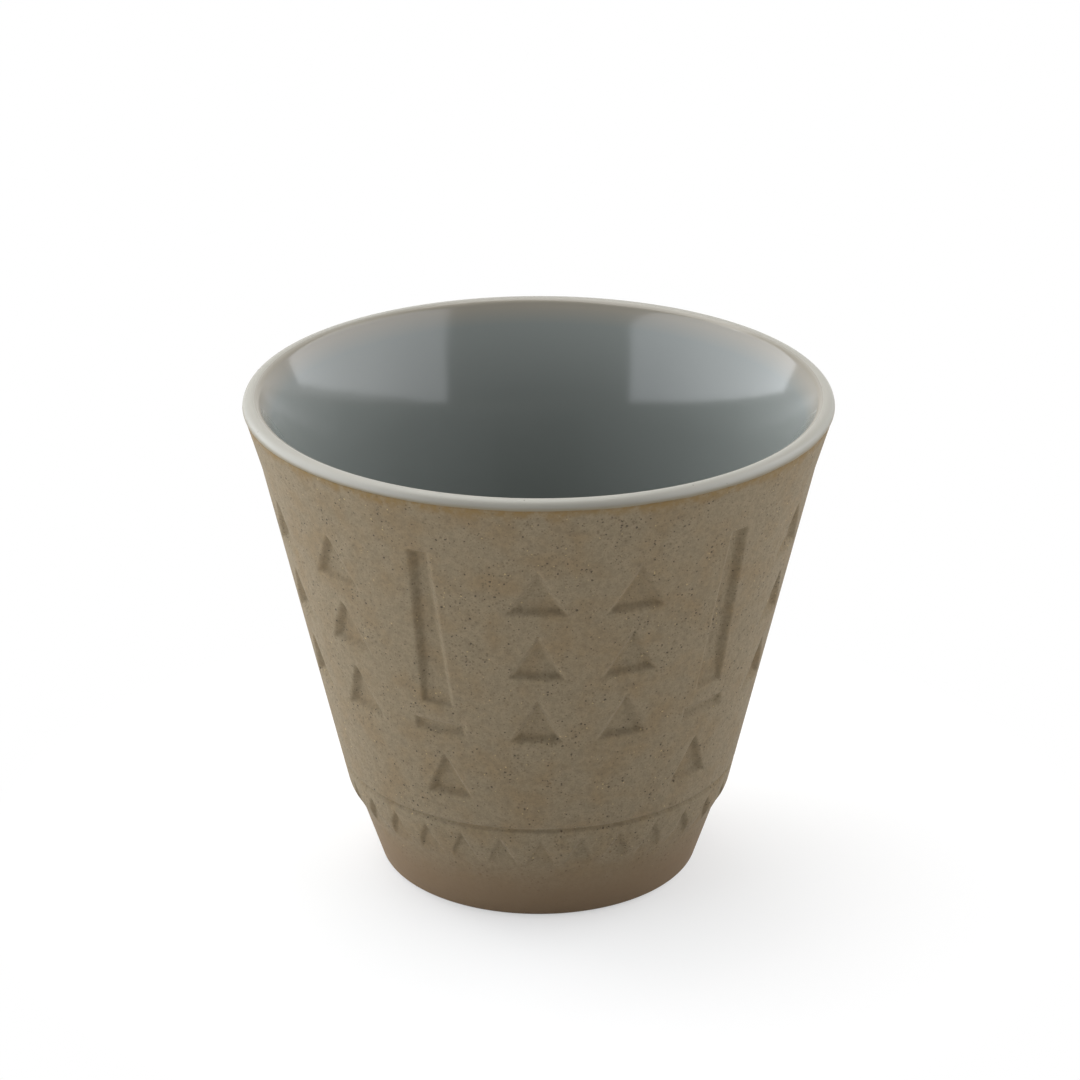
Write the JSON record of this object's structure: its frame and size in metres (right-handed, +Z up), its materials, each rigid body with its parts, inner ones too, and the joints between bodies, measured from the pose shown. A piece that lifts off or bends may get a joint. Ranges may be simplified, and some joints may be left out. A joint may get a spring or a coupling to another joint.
{
  "type": "coffee cup",
  "caption": "Handleless conical stoneware coffee cup with a stamped triangle and bar ornament, a sawtooth band over a set-in foot, and a glazed inside and lip.",
  "frame": {"origin": "on the table under the middle of the foot", "axes": "+Z up along the cup's axis; -Y is the front that the picture shows, +X to its right"},
  "size_m": [0.09, 0.09, 0.077],
  "materials": {
    "stoneware": "matt unglazed, grey-brown, fine iron specks",
    "glaze": "gloss, grey celadon, paler and warmer on the lip"
  },
  "bodies": {
    "root": {"stoneware_body": "stoneware", "glaze_lining": "glaze"}
  },
  "joints": []
}
